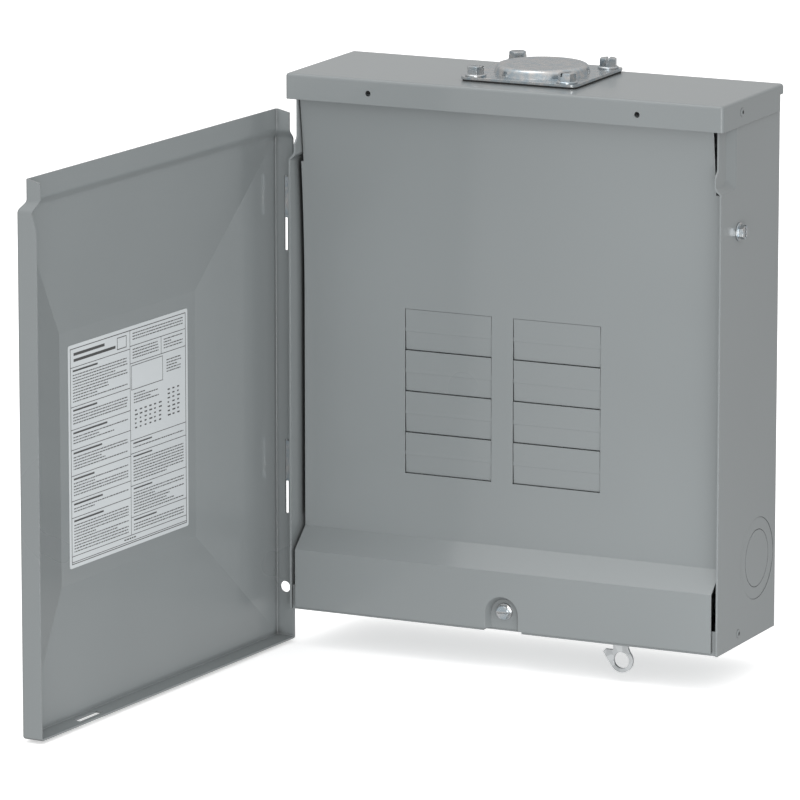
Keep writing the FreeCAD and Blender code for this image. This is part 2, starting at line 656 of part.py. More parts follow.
def dead_front_screw():
    screw = hex_washer_screw(7.9, 3.0, 5.2, 0.9, DEAD_SCREW_R, 9.0, 1.3)
    screw.rotate(V(0, 0, 0), V(0, 0, 1), 20)
    return placed(screw, DEAD_SCREW[0], U_FLOOR - 0.05, DEAD_SCREW[1], (0, -1, 0))


def dead_front_rail():
    """Cross rail behind the dead front's top, which the two tabs hook over."""
    half = INNER_W - 0.2
    height = (RAIL_LOW, DEAD_TOP - SHEET - 0.15)
    rail = block((-half, half), (RAIL_B, RAIL_B + SHEET), height)
    end = block((half - SHEET, half), (RAIL_B, RAIL_B + 14), height)
    return join([rail, end, mirrored(end)])


# ---- interior -----------------------------------------------------------------------
def row_centres():
    return [TWIST_TOP - TWIST_PITCH * (row + 0.5) for row in range(TWIST_ROWS)]


def back_screw_points():
    """Screws that thread into the back: interior pan, ground bar and bonding strap."""
    points = [(x, z, BACK_SCREW_R) for x in FOOT_X for z in FOOT_Z]
    points += [(GROUND_X, z, BACK_SCREW_R) for z in GROUND_SCREW_Z]
    points.append((NEUTRAL_X, STRAP_SCREW_Z, BACK_SCREW_R))
    return points


def interior_pan():
    x0, x1 = INTERIOR_X - PAN_HALF, INTERIOR_X + PAN_HALF
    plate = block((x0, x1), (PAN_FACE, PAN_FACE + SHEET), PAN_Z)
    legs = [
        block((x0, x0 + SHEET), (PAN_FACE, BACK_B - 0.05), PAN_Z),
        block((x1 - SHEET, x1), (PAN_FACE, BACK_B - 0.05), PAN_Z),
        block((x0 - 15, x0 + SHEET), (BACK_B - 0.05 - SHEET, BACK_B - 0.05), PAN_Z),
        block((x1 - SHEET, x1 + 15), (BACK_B - 0.05 - SHEET, BACK_B - 0.05), PAN_Z),
    ]
    tools = [rod(x, BACK_B - 6, z, BACK_SCREW_R + 0.2, 12, (0, 1, 0)) for x in FOOT_X for z in FOOT_Z]
    tools += [rod(x, PAN_FACE - 2, z, 1.6, 5, (0, 1, 0)) for x, z in base_screw_points()]
    return cut(join([plate] + legs), tools)


def pan_screws():
    screw = hex_washer_screw(7.0, 3.0, 4.8, 0.9, BACK_SCREW_R, 2.3, 1.2)
    seat = BACK_B - 0.1 - SHEET
    return Part.makeCompound([placed(screw, x, seat, z, (0, -1, 0)) for x in FOOT_X for z in FOOT_Z])


def base_screw_points():
    return [(INTERIOR_X, 73.0), (INTERIOR_X, 207.0)]


def bus_insulator():
    """Moulded base with a barrier between neighbouring breaker spaces."""
    base = block((INTERIOR_X - 27, INTERIOR_X + 27), (64.0, PAN_FACE - 0.05), (66, 213))
    edges = [TWIST_TOP - TWIST_PITCH * k for k in range(TWIST_ROWS + 1)]
    across = (INTERIOR_X - 5.5, INTERIOR_X + 5.5)
    barriers = [block(across, (46.0, 64.0), (z - 1.0, z + 1.0)) for z in edges]
    spine = block((INTERIOR_X - 4.0, INTERIOR_X + 4.0), (60.5, 64.0), (edges[-1] - 1, edges[0] + 1))
    tools = [rod(x, 58, z, 1.65, 20, (0, 1, 0)) for x, z in base_screw_points()]
    tools += [rod(x, 58, z, 4.0, 9.0, (0, 1, 0)) for x, z in base_screw_points()]
    for x0, x1 in (BAR_A_X, BAR_B_X):
        for z in bus_screw_heights():
            tools.append(rod((x0 + x1) / 2, 60, z, 1.65, 10, (0, 1, 0)))
    return cut(join([base, spine] + barriers), tools)


def bus_screw_heights():
    return (84.5, 203.0)


def bus_bar(strip, rows):
    """Vertical strip with an arm and two stab blades at every second breaker space."""
    pieces = [block(strip, BAR_B, BAR_Z)]
    for z in rows:
        band = (z - 6.0, z + 6.0)
        pieces.append(block(strip, (ARM_B[1], BAR_B[0]), band))
        pieces.append(block((BAR_A_X[0], BAR_B_X[1]), ARM_B, band))
        blade = [
            (ARM_B[1], z - 8), (BLADE_TIP + 3, z - 8), (BLADE_TIP, z - 5),
            (BLADE_TIP, z + 5), (BLADE_TIP + 3, z + 8), (ARM_B[1], z + 8),
        ]
        for x in (BAR_A_X[0], BAR_B_X[1] - BLADE_T):
            pieces.append(profile_x(blade, (x, x + BLADE_T)))
    tools = [rod((strip[0] + strip[1]) / 2, 60, z, 2.2, 6, (0, 1, 0)) for z in bus_screw_heights()]
    return cut(join(pieces), tools)


def bus_screws():
    """Short screws through the bars and longer ones that hold the base to the interior pan."""
    bar_screw = pan_head_screw(3.4, 2.0, 1.6, 6.0, 0.9)
    base_screw = pan_head_screw(3.4, 2.0, 1.55, 10.9, 0.9)
    screws = [placed(base_screw, x, 66.95, z, (0, -1, 0)) for x, z in base_screw_points()]
    for strip in (BAR_A_X, BAR_B_X):
        middle = (strip[0] + strip[1]) / 2
        screws += [placed(bar_screw, middle, BAR_B[0] - 0.05, z, (0, -1, 0)) for z in bus_screw_heights()]
    return Part.makeCompound(screws)


def box_lug(x, bars_b):
    """Box lug: wire bore along Z, clamping screw from the front."""
    body = block((x - 9.5, x + 9.5), (LUG_B[0], bars_b), LUG_Z)
    body = round_edges(body, 1.5, lambda p, q: max(p.y, q.y) < LUG_B[0] - BOX_D + 0.01)
    bore = rod(x, LUG_BORE_B, LUG_Z[0] - 1, LUG_R, LUG_Z[1] - LUG_Z[0] + 2, (0, 0, 1))
    thread = rod(x, LUG_B[0] - 1, LUG_MID_Z, LUG_SCREW_R + 0.1, 10, (0, 1, 0))
    return cut(body, [bore, thread])


def main_lug(strip, side):
    return box_lug((strip[0] + strip[1]) / 2 + side * 3.0, LUG_B[1])


def lug_positions():
    middle_a = (BAR_A_X[0] + BAR_A_X[1]) / 2 - 3.0
    middle_b = (BAR_B_X[0] + BAR_B_X[1]) / 2 + 3.0
    return [middle_a, middle_b, NEUTRAL_X]


def lug_set_screws():
    length = 9.0
    body = Part.makeCylinder(LUG_SCREW_R, length)
    body = body.makeChamfer(0.5, [body.Edges[0]])
    groove = Part.makeBox(12, 1.5, 2.0, V(-6, -0.75, length - 1.8))
    body = body.cut(groove)
    seat = LUG_B[0] + 7.2
    return Part.makeCompound([placed(body, x, seat, LUG_MID_Z, (0, -1, 0)) for x in lug_positions()])


def terminal_heights(span, ways):
    pitch = (span[1] - span[0] - 16.0) / (ways - 1)
    return [span[0] + 8.0 + pitch * k for k in range(ways)]


def terminal_bar(x, b, z, heights):
    """Bar with a cross hole for the wire and a clamping screw hole from the front at each way."""
    bar = block((x - BAR_HALF, x + BAR_HALF), b, z)
    depth = (b[0] + b[1]) / 2
    tools = [rod(x - 6, depth + 0.8, h, TERMINAL_R, 12, (1, 0, 0)) for h in heights]
    tools += [rod(x, b[0] - 1, h, TERMINAL_R + 0.1, depth - b[0] + 1, (0, 1, 0)) for h in heights]
    return cut(bar, tools)


def terminal_screws(x, b, heights):
    screw = pan_head_screw(3.2, 1.9, TERMINAL_R, 3.2, 0.9)
    return Part.makeCompound([placed(screw, x, b[0] - 0.3, h, (0, -1, 0)) for h in heights])


def neutral_bar():
    bar = terminal_bar(NEUTRAL_X, NEUTRAL_B, NEUTRAL_Z, terminal_heights(NEUTRAL_Z, NEUTRAL_WAYS))
    across = (NEUTRAL_X - BAR_HALF, NEUTRAL_X + BAR_HALF)
    tongue = block(across, (NEUTRAL_B[0], NEUTRAL_B[0] + 3), (NEUTRAL_Z[1], LUG_Z[1]))
    return join([bar, tongue])


def neutral_lug():
    return box_lug(NEUTRAL_X, NEUTRAL_B[0] - 0.05)


def neutral_standoffs():
    across = (NEUTRAL_X - 7, NEUTRAL_X + 7)
    depth = (NEUTRAL_B[1] + 0.05, BACK_B - 0.05)
    return Part.makeCompound([block(across, depth, (z - 9, z + 9)) for z in (108.0, 194.0)])


def ground_heights():
    return terminal_heights((GROUND_Z[0] + 10, GROUND_Z[1] - 10), GROUND_WAYS)


def ground_bar():
    bar = terminal_bar(GROUND_X, GROUND_B, GROUND_Z, ground_heights())
    tools = [rod(GROUND_X, 70, z, BACK_SCREW_R + 0.2, 25, (0, 1, 0)) for z in GROUND_SCREW_Z]
    return cut(bar, tools)


def ground_bar_screws():
    screw = pan_head_screw(3.6, 2.4, BACK_SCREW_R, 11.2, 1.0)
    seat = GROUND_B[0] - 0.05
    return Part.makeCompound([placed(screw, GROUND_X, seat, z, (0, -1, 0)) for z in GROUND_SCREW_Z])


def bonding_strap():
    """Copper strap from the neutral bar's lower end down to the back of the box."""
    top = NEUTRAL_Z[0] - 0.05
    back = BACK_B - 0.05
    outline = [
        (NEUTRAL_B[0], top), (NEUTRAL_B[0], top - STRAP_T), (back - STRAP_T, top - STRAP_T),
        (back - STRAP_T, STRAP_SCREW_Z - 8), (back, STRAP_SCREW_Z - 8), (back, top),
    ]
    strap = profile_x(outline, (NEUTRAL_X - BAR_HALF, NEUTRAL_X + BAR_HALF))
    return strap.cut(rod(NEUTRAL_X, 80, STRAP_SCREW_Z, BACK_SCREW_R + 0.2, 12, (0, 1, 0)))


def bonding_screw():
    screw = hex_washer_screw(7.0, 3.0, 4.8, 0.9, BACK_SCREW_R, 2.3, 1.2)
    return placed(screw, NEUTRAL_X, BACK_B - STRAP_T - 0.1, STRAP_SCREW_Z, (0, -1, 0))


def hook_rail(side):
    """Rail that the outer ends of the breakers hook on."""
    foot = INTERIOR_X + side * 66.0
    lip = foot + side * 4.0
    front, back = 58.0, PAN_FACE - 0.05
    base = block(sorted((foot - side * 8.0, foot)), (back - SHEET, back), HOOK_RAIL_Z)
    web_x = sorted((foot - side * SHEET, foot))
    web = block(web_x, (front, back), HOOK_RAIL_Z)
    hook_x = sorted((foot - side * SHEET, lip))
    hooks = [block(hook_x, (front, front + SHEET), (z - 8, z + 8)) for z in row_centres()]
    return join([base, web] + hooks)


# ---- hinges -------------------------------------------------------------------------
def hinge_rivet_heights(top):
    return (top - 6.0, top - HOOK_H + 6.0)


def hinge_bracket(top):
    """Base plate on the left wall with two ears that carry the pin."""
    pin_x = -HALF_W - HINGE_OUT
    low = top - HOOK_H - EAR_GAP - EAR
    high = top + EAR_GAP + EAR
    face = -HALF_W - 0.02
    base = block((face - SHEET, face), BRACKET_B, (low, high))
    pieces = [base]
    for z in (low, high - EAR):
        tip = rod(pin_x, HINGE_B, z, EAR_R, EAR, (0, 0, 1))
        outline = [
            (pin_x - EAR_R, HINGE_B), (pin_x + EAR_R, HINGE_B), (face, BRACKET_B[0]),
            (face, BRACKET_B[1]), (face - SHEET, BRACKET_B[1]),
        ]
        pieces += [tip, plan(outline, (z, z + EAR))]
    tools = [rod(pin_x, HINGE_B, low - 1, PIN_R + 0.05, high - low + 2, (0, 0, 1))]
    for z in hinge_rivet_heights(top):
        tools.append(rod(-HALF_W + 1, HINGE_RIVET_B, z, RIVET_HOLE_R, 5, (-1, 0, 0)))
    return cut(join(pieces), tools)


def hinge_pin(top):
    """Headed pin through both ears."""
    low = top - HOOK_H - EAR_GAP - EAR - 0.6
    high = top + EAR_GAP + EAR + 0.05
    shank = rod(-HALF_W - HINGE_OUT, HINGE_B, low, PIN_R, high - low, (0, 0, 1))
    head = rod(-HALF_W - HINGE_OUT, HINGE_B, high, 1.5, 0.7, (0, 0, 1))
    return join([shank, head])


def hinge_bracket_rivets():
    grip = SHEET + 0.02 + SHEET
    one = rivet(2.4, 0.8, RIVET_R, grip + 0.1)
    outside = -HALF_W - 0.02 - SHEET - 0.05
    heights = [z for top in HOOK_TOPS for z in hinge_rivet_heights(top)]
    return Part.makeCompound([placed(one, outside, HINGE_RIVET_B, z, (-1, 0, 0)) for z in heights])


def hinge_hook(top):
    """Leaf that rolls round the pin, passes out through the door's slot and hooks behind the flange."""
    pin_x, r, t = -HALF_W - HINGE_OUT, PIN_R + 0.05 + HOOK_SHEET, HOOK_SHEET
    z = (top - HOOK_H, top)
    roll = rod(pin_x, HINGE_B, z[0], r, HOOK_H, (0, 0, 1))
    tip = HINGE_B - 5.9
    leaf = block((pin_x + r - t, pin_x + r), (tip, HINGE_B), z)
    tab = block((pin_x - r, pin_x + r), (tip, tip + t), z)
    hook = block((pin_x - r, pin_x - r + t), (tip, tip + 3.4), z)
    body = join([roll, leaf, tab, hook])
    body = round_edges(
        body, 0.5,
        lambda p, q: abs(p.z - q.z) > HOOK_H / 2 and max(p.y, q.y) < tip - BOX_D + 0.01,
    )
    return opened(body.cut(rod(pin_x, HINGE_B, z[0] - 1, PIN_R + 0.05, HOOK_H + 2, (0, 0, 1))))


# ---- door ---------------------------------------------------------------------------
def door_section(inset, z, stepped):
    """Outline of the door at one height, moved inwards by inset; stepped is how far it is in the band."""
    half = HALF_W + DOOR_SIDE_GAP + SHEET - inset - BAND_IN * stepped
    front = DOOR_FRONT + inset + BAND_BACK * stepped
    back = DOOR_FRONT + DOOR_FLANGE + (5 if inset else 0)
    bend = DOOR_BEND - inset

    def point(x, b):
        return V(x, b - BOX_D, z)

    def corner(side):
        part_way = bend * (1 - math.sqrt(0.5))
        start, end = point(side * half, front + bend), point(side * (half - bend), front)
        middle = point(side * (half - part_way), front + part_way)
        return Part.Arc(start, middle, end).toShape()

    edges = [corner(-1), corner(1)]
    edges.append(Part.makeLine(point(bend - half, front), point(half - bend, front)))
    edges.append(Part.makeLine(point(-half, back), point(half, back)))
    for side in (-half, half):
        edges.append(Part.makeLine(point(side, front + bend), point(side, back)))
    return Part.Wire(Part.__sortEdges__(edges))


def label_corner():
    """Lower left corner of the door's label, as x and z, with the door closed."""
    return HALF_W + DOOR_SIDE_GAP + SHEET - LABEL_FROM_EDGE - LABEL_SIZE, DOOR_Z + LABEL_FROM_BOTTOM


def rectangle_across(x, z, b):
    """Upright rectangle across the door, between two x values and two heights."""
    corners = [(x[0], z[0]), (x[1], z[0]), (x[1], z[1]), (x[0], z[1])]
    points = [V(corner_x, b - BOX_D, corner_z) for corner_x, corner_z in corners]
    return Part.makePolygon(points + points[:1])


def panel_bulge(inset):
    """The low four-sided rise in the middle of the door's panel."""
    half = HALF_W + DOOR_SIDE_GAP + SHEET - BULGE_MARGIN
    foot = rectangle_across((-half, half), (DOOR_Z + BULGE_MARGIN, RAMP_LOW - 1), DOOR_FRONT + inset)
    x, z = label_corner()
    low, high = -BULGE_ROUND_LABEL, LABEL_SIZE + BULGE_ROUND_LABEL
    flat = rectangle_across((x + low, x + high), (z + low, z + high), DOOR_FRONT + inset - BULGE)
    return Part.makeLoft([foot, flat], True, True)


def door_block(inset, low, high):
    """Solid outline of the door: main part, ramp, and the stepped-in band."""
    main = Part.Face(door_section(inset, low, 0)).extrude(V(0, 0, RAMP_LOW - low))
    sections = []
    for step in range(RAMP_STEPS + 1):
        share = step / RAMP_STEPS
        stepped = (1 - math.cos(math.pi * share)) / 2
        sections.append(door_section(inset, RAMP_LOW + BAND_RAMP * share, stepped))
    ramp = Part.makeLoft(sections, True, True)
    band = Part.Face(door_section(inset, BAND_LOW, 1)).extrude(V(0, 0, high - BAND_LOW))
    return join([main, ramp, band, panel_bulge(inset)])


def round_door(shape, inset, radius):
    """Round the bend along the door's lower edge."""
    front, low = DOOR_FRONT + inset, DOOR_Z + inset

    def bend(p, q):
        at_front = near(p.y + BOX_D, front) and near(q.y + BOX_D, front)
        return at_front and near(p.z, low) and near(q.z, low) and abs(p.x - q.x) > 1

    return round_edges(shape, radius, bend)


def hinge_slots():
    """Tall slots for the hooks and, behind them, the relief around the hinge pins."""
    side = -HALF_W - DOOR_SIDE_GAP - SHEET
    through = (side - 1, side + SHEET + 1)
    tools = []
    for top in HOOK_TOPS:
        high = top + 0.2
        low = high - SLOT_H
        tools.append(block(through, HOOK_SLOT_B, (low, high)))
        tools.append(block(through, (HINGE_B - EAR_R - 0.4, 16), (low - PIN_RELIEF, high + PIN_RELIEF)))
    return tools


def flange_trims():
    """What is cut from the side flanges: their sloping tops, and the taper on the free side."""
    root, free = DOOR_FRONT + BAND_BACK + DOOR_BEND, DOOR_FRONT + DOOR_FLANGE
    top = DOOR_Z + DOOR_H
    low = top - FLANGE_FALL
    fall = [(root, top), (free, low), (free + 1, low), (free + 1, top + 1), (root, top + 1)]
    taper = [(free, BAND_LOW), (free - NOTCH_B, RAMP_LOW), (free, RAMP_LOW - NOTCH_H), (free + 1, RAMP_LOW)]
    return [profile_x(fall, (-HALF_W - 5, HALF_W + 5)), profile_x(taper, (0, HALF_W + 5))]


def door():
    """Shallow tray, open at the top, with the hinge slots, the hasp slot and a drain hole."""
    outer = round_door(door_block(0, DOOR_Z, DOOR_Z + DOOR_H), 0, DOOR_LOW_BEND)
    inner = round_door(door_block(SHEET, DOOR_Z + SHEET, DOOR_Z + DOOR_H + 1), SHEET, DOOR_LOW_BEND - SHEET)
    shell = outer.cut(inner)
    tools = hinge_slots()
    tools.append(block(DOOR_SLOT_X, DOOR_SLOT_B, (DOOR_Z - 1, DOOR_Z + SHEET + 1)))
    side = -HALF_W - DOOR_SIDE_GAP - SHEET
    hole_b, hole_z = DOOR_FRONT + 7.1, DOOR_Z + 31.8
    tools.append(rod(side - 2, hole_b, hole_z, DOOR_HOLE_R, 6, (1, 0, 0)))
    return opened(cut(shell, tools + flange_trims()))


def door_label():
    """Square label stuck on the inside of the door."""
    x, z = label_corner()
    b = DOOR_FRONT + SHEET - BULGE + 0.02
    sheet = block((x, x + LABEL_SIZE), (b, b + LABEL_T), (z, z + LABEL_SIZE))
    return opened(round_edges(sheet, 1.5, lambda p, q: abs(p.y - q.y) > 0.1))


# ---- hasp ---------------------------------------------------------------------------
def hasp():
    """Flat strip with a barb that holds the door up and a ring for a padlock, hung from a rivet."""
    span = (HASP_B - HASP_T / 2, HASP_B + HASP_T / 2)
    pivot_x, pivot_z = HASP_PIVOT
    left, right = HASP_X - STEM_HALF, HASP_X + STEM_HALF
    head = rod(pivot_x, span[0], pivot_z, HASP_HEAD_R, HASP_T, (0, 1, 0))
    stem = front_view([(left, RING_Z), (right, RING_Z), (right, pivot_z), (left, pivot_z)], span)
    to_tip = math.atan2(BARB_TIP[1] - RING_Z, BARB_TIP[0] - RING_X)
    reach = math.hypot(BARB_TIP[0] - RING_X, BARB_TIP[1] - RING_Z)
    angle = to_tip + math.acos(RING_R / reach)
    tangent = (RING_X + RING_R * math.cos(angle), RING_Z + RING_R * math.sin(angle))
    barb = front_view(
        [
            (left, BARB_TOP), (BARB_TIP[0] + 1.4, BARB_TOP), BARB_TIP, tangent,
            (RING_X, RING_Z), (RING_X + RING_R, RING_Z), (right, BARB_TOP + 2),
        ],
        span,
    )
    ring = rod(RING_X, span[0], RING_Z, RING_R, HASP_T, (0, 1, 0))
    body = join([head, stem, barb, ring])
    tools = [rod(RING_X, span[0] - 1, RING_Z, RING_HOLE_R, HASP_T + 2, (0, 1, 0))]
    tools.append(rod(pivot_x, span[0] - 1, pivot_z, HASP_RIVET_R + 0.08, HASP_T + 2, (0, 1, 0)))
    return cut(body, tools)


def hasp_bracket():
    """Angle on the bottom pan that carries the hasp's rivet."""
    x = (HASP_X - 14, HASP_X + 12)
    b0, t = HASP_BRACKET_B, HASP_BRACKET_T
    seat, top = SHEET + 0.05, 33.0
    web = block(x, (b0, b0 + t), (seat, top))
    web = round_edges(web, 4.0, lambda p, q: near(p.z, top) and near(q.z, top) and abs(p.y - q.y) > 0.1)
    foot = block(x, (b0, b0 + 17), (seat, seat + t))
    pivot_x, pivot_z = HASP_PIVOT
    tools = [rod(pivot_x, 0, pivot_z, HASP_RIVET_R + 0.05, 20, (0, 1, 0))]
    tools.append(rod(HASP_X, HASP_FOOT_B, 0, RIVET_HOLE_R, 6, (0, 0, 1)))
    return cut(join([web, foot]), tools)


def hasp_rivet():
    """Shoulder rivet that the hasp turns on."""
    pivot_x, pivot_z = HASP_PIVOT
    front = HASP_B - HASP_T / 2 - 0.15
    back = HASP_BRACKET_B + HASP_BRACKET_T + 0.05
    shank = rod(pivot_x, front, pivot_z, HASP_RIVET_R, back - front, (0, 1, 0))
    head = rod(pivot_x, front - 1.1, pivot_z, 4.4, 1.1, (0, 1, 0))
    tail = rod(pivot_x, back, pivot_z, 3.8, 1.0, (0, 1, 0))
    return join([shank, head, tail])


def hasp_bracket_rivet():
    grip = SHEET + 0.05 + HASP_BRACKET_T
    one = rivet(2.8, 0.9, RIVET_R, grip + 0.1)
    return placed(one, HASP_X, HASP_FOOT_B, grip + 0.05)


# ---- every piece, by the name of its node -------------------------------------------
def pieces():
    rows = row_centres()
    upper, lower = HOOK_TOPS
    return {
        "box_shell": box_shell(),
        "bottom_pan": bottom_pan(),
        "rain_cap": rain_cap(),
        "cap_rivets": cap_rivets(),
        "pan_rivets": pan_rivets(),
        "right_knockout_slugs": wall_slugs(1),
        "left_knockout_slugs": wall_slugs(-1),
        "bottom_knockout_slugs": bottom_slugs(),
        "hub_gasket": hub_gasket(),
        "hub_closure_plate": hub_closure_plate(),
        "hub_screws": hub_screws(),
        "side_bonding_screw": side_bonding_screw(),
        "dead_front": dead_front(),
        "twistout_plates": twistout_plates(),
        "dead_front_screw": dead_front_screw(),
        "dead_front_rail": dead_front_rail(),
        "interior_pan": interior_pan(),
        "pan_screws": pan_screws(),
        "bus_insulator": bus_insulator(),
        "bus_bar_a": bus_bar(BAR_A_X, rows[0::2]),
        "bus_bar_b": bus_bar(BAR_B_X, rows[1::2]),
        "bus_screws": bus_screws(),
        "main_lug_a": main_lug(BAR_A_X, -1),
        "main_lug_b": main_lug(BAR_B_X, 1),
        "lug_set_screws": lug_set_screws(),
        "neutral_bar": neutral_bar(),
        "neutral_lug": neutral_lug(),
        "neutral_standoffs": neutral_standoffs(),
        "neutral_terminal_screws": terminal_screws(
            NEUTRAL_X, NEUTRAL_B, terminal_heights(NEUTRAL_Z, NEUTRAL_WAYS)),
        "ground_bar": ground_bar(),
        "ground_terminal_screws": terminal_screws(GROUND_X, GROUND_B, ground_heights()),
        "ground_bar_screws": ground_bar_screws(),
        "bonding_strap": bonding_strap(),
        "bonding_screw": bonding_screw(),
        "left_hook_rail": hook_rail(-1),
        "right_hook_rail": hook_rail(1),
        "upper_hinge_bracket": hinge_bracket(upper),
        "lower_hinge_bracket": hinge_bracket(lower),
        "upper_hinge_pin": hinge_pin(upper),
        "lower_hinge_pin": hinge_pin(lower),
        "hinge_bracket_rivets": hinge_bracket_rivets(),
        "upper_hinge_hook": hinge_hook(upper),
        "lower_hinge_hook": hinge_hook(lower),
        "door": door(),
        "door_label": door_label(),
        "hasp": hasp(),
        "hasp_bracket": hasp_bracket(),
        "hasp_rivet": hasp_rivet(),
        "hasp_bracket_rivet": hasp_bracket_rivet(),
    }


def main():
    os.makedirs("parts", exist_ok=True)
    for name, shape in pieces().items():
        if not shape.isValid():
            print("not valid:", name)
        print(name, "solids", len(shape.Solids), "volume", round(shape.Volume, 1))
        shape.exportStep("parts/" + name + ".step")


main()
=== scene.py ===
"""Looks of the residential load center: paint, plating, label print, floor, light and camera.

Metres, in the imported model's frame: +X to the right, -Y towards the opener, +Z up.
"""

import json
import math
import random

import bpy
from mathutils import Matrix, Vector


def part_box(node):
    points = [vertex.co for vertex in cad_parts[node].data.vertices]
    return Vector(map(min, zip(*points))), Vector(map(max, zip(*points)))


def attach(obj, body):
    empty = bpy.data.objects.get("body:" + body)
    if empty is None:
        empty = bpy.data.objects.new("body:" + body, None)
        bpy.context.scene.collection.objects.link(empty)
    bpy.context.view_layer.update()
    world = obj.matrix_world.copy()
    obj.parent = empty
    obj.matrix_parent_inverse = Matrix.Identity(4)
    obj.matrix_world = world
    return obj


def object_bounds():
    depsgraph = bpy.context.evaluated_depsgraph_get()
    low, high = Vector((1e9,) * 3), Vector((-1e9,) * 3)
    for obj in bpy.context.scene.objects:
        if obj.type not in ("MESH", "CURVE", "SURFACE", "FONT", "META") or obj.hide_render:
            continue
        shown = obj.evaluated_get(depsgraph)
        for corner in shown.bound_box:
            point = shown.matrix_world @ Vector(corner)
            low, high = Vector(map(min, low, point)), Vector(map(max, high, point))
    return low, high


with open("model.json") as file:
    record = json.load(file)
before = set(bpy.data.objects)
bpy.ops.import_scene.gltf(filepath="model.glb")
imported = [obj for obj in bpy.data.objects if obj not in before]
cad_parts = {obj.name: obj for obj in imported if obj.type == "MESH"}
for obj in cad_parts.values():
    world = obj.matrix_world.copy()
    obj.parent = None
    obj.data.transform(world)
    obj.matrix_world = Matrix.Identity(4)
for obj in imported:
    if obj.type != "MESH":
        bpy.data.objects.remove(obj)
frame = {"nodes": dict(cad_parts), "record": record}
CAD_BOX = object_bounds()

MM = 0.001
NODES = frame["nodes"]


# ---- node helpers -------------------------------------------------------------------
class Shader:
    """A node material under construction."""

    def __init__(self, name):
        self.material = bpy.data.materials.new(name)
        self.material.use_nodes = True
        self.tree = self.material.node_tree
        self.surface = self.tree.nodes["Principled BSDF"]
        self.place = self.add("ShaderNodeTexCoord").outputs["Object"]

    def add(self, kind, inputs=None, **settings):
        """New node with its settings, and its inputs set or linked."""
        node = self.tree.nodes.new(kind)
        for key, value in settings.items():
            setattr(node, key, value)
        for key, value in (inputs or {}).items():
            self.feed(node.inputs[key], value)
        return node

    def feed(self, socket, value):
        if isinstance(value, bpy.types.NodeSocket):
            self.tree.links.new(value, socket)
        else:
            socket.default_value = value

    def noise(self, scale, detail=2.0, roughness=0.5, place=None):
        """Noise value between about 0.2 and 0.8; scale is in cycles per metre."""
        settings = {
            "Vector": place or self.place, "Scale": scale, "Detail": detail, "Roughness": roughness,
        }
        return self.add("ShaderNodeTexNoise", settings).outputs["Fac"]

    def stretched(self, factors):
        """Object coordinates scaled along each axis."""
        settings = {"Vector": self.place, "Scale": factors}
        return self.add("ShaderNodeMapping", settings).outputs["Vector"]

    def spread(self, value, low, high, out_low=0.0, out_high=1.0):
        """Map a value's range low..high to another range, clamped."""
        settings = {
            "Value": value, "From Min": low, "From Max": high, "To Min": out_low, "To Max": out_high,
        }
        return self.add("ShaderNodeMapRange", settings).outputs["Result"]

    def mix(self, factor, first, second):
        """Colour between first, at factor 0, and second, at factor 1."""
        node = self.add("ShaderNodeMix", data_type="RGBA")
        self.feed(node.inputs[0], factor)
        self.feed(node.inputs[6], first)
        self.feed(node.inputs[7], second)
        return node.outputs[2]

    def math(self, operation, first, second=0.0):
        node = self.add("ShaderNodeMath", operation=operation)
        self.feed(node.inputs[0], first)
        self.feed(node.inputs[1], second)
        return node.outputs[0]

    def bump(self, height, depth, normal=None):
        """Bump whose full height range is depth metres."""
        inputs = {"Height": height, "Distance": depth, "Strength": 1.0}
        if normal is not None:
            inputs["Normal"] = normal
        return self.add("ShaderNodeBump", inputs).outputs["Normal"]

    def rounded(self, radius):
        """Shading normal that looks like edges rounded by radius metres."""
        return self.add("ShaderNodeBevel", {"Radius": radius}, samples=4).outputs["Normal"]

    def painted_shade(self, color, distance, dark):
        """Painted shade: darken a colour in gaps and crevices narrower than distance metres, where shade
        falls.
        """
        occlusion = self.add("ShaderNodeAmbientOcclusion", {"Distance": distance}, samples=4)
        open_share = self.spread(occlusion.outputs["AO"], 0.15, 0.75)
        return self.mix(open_share, grey(dark), color)

    def finish(self, **inputs):
        names = {
            "color": "Base Color", "metallic": "Metallic", "rough": "Roughness", "normal": "Normal",
            "coat": "Coat Weight", "coat_rough": "Coat Roughness", "specular": "Specular IOR Level",
            "glow_color": "Emission Color", "glow": "Emission Strength",
        }
        for key, value in inputs.items():
            self.feed(self.surface.inputs[names[key]], value)
        return self.material


def grey(value, tint=(1.0, 1.0, 1.0)):
    return tuple(value * t for t in tint) + (1.0,)


# ---- materials ----------------------------------------------------------------------
PAINT_TINT = (0.92, 1.0, 1.02)
PAINT_DARK, PAINT_LIGHT = 0.230, 0.260
# reach and grey of the shade painted into gaps and crevices
SHADE_GAP_WIDTH, PAINTED_SHADE_GREY = 6 * MM, 0.03
OIL_CAN_DEPTH = 0.7 * MM    # slow waves in the thin sheet
ORANGE_PEEL_DEPTH = 0.01 * MM


def enamel(s, rise=None, rise_height=0.0):
    """Glossy grey enamel on thin sheet: orange peel, oil-canning, painted shade in joints and crevices,
    rounded edges.
    """
    cloud = s.noise(9.0, 1.0)
    color = s.mix(cloud, grey(PAINT_DARK, PAINT_TINT), grey(PAINT_LIGHT, PAINT_TINT))
    # painted shade: the colour darkens in gaps and crevices where nearby parts block the light
    color = s.painted_shade(color, SHADE_GAP_WIDTH, PAINTED_SHADE_GREY)
    rough = s.spread(cloud, 0.0, 1.0, 0.25, 0.33)
    normal = s.rounded(0.6 * MM)
    if rise is not None:
        normal = s.bump(rise, rise_height, normal)
    normal = s.bump(s.noise(7.0, 0.0), OIL_CAN_DEPTH, normal)
    normal = s.bump(s.noise(420.0, 1.0), ORANGE_PEEL_DEPTH, normal)
    return s.finish(color=color, rough=rough, normal=normal, coat=0.4, coat_rough=0.09)


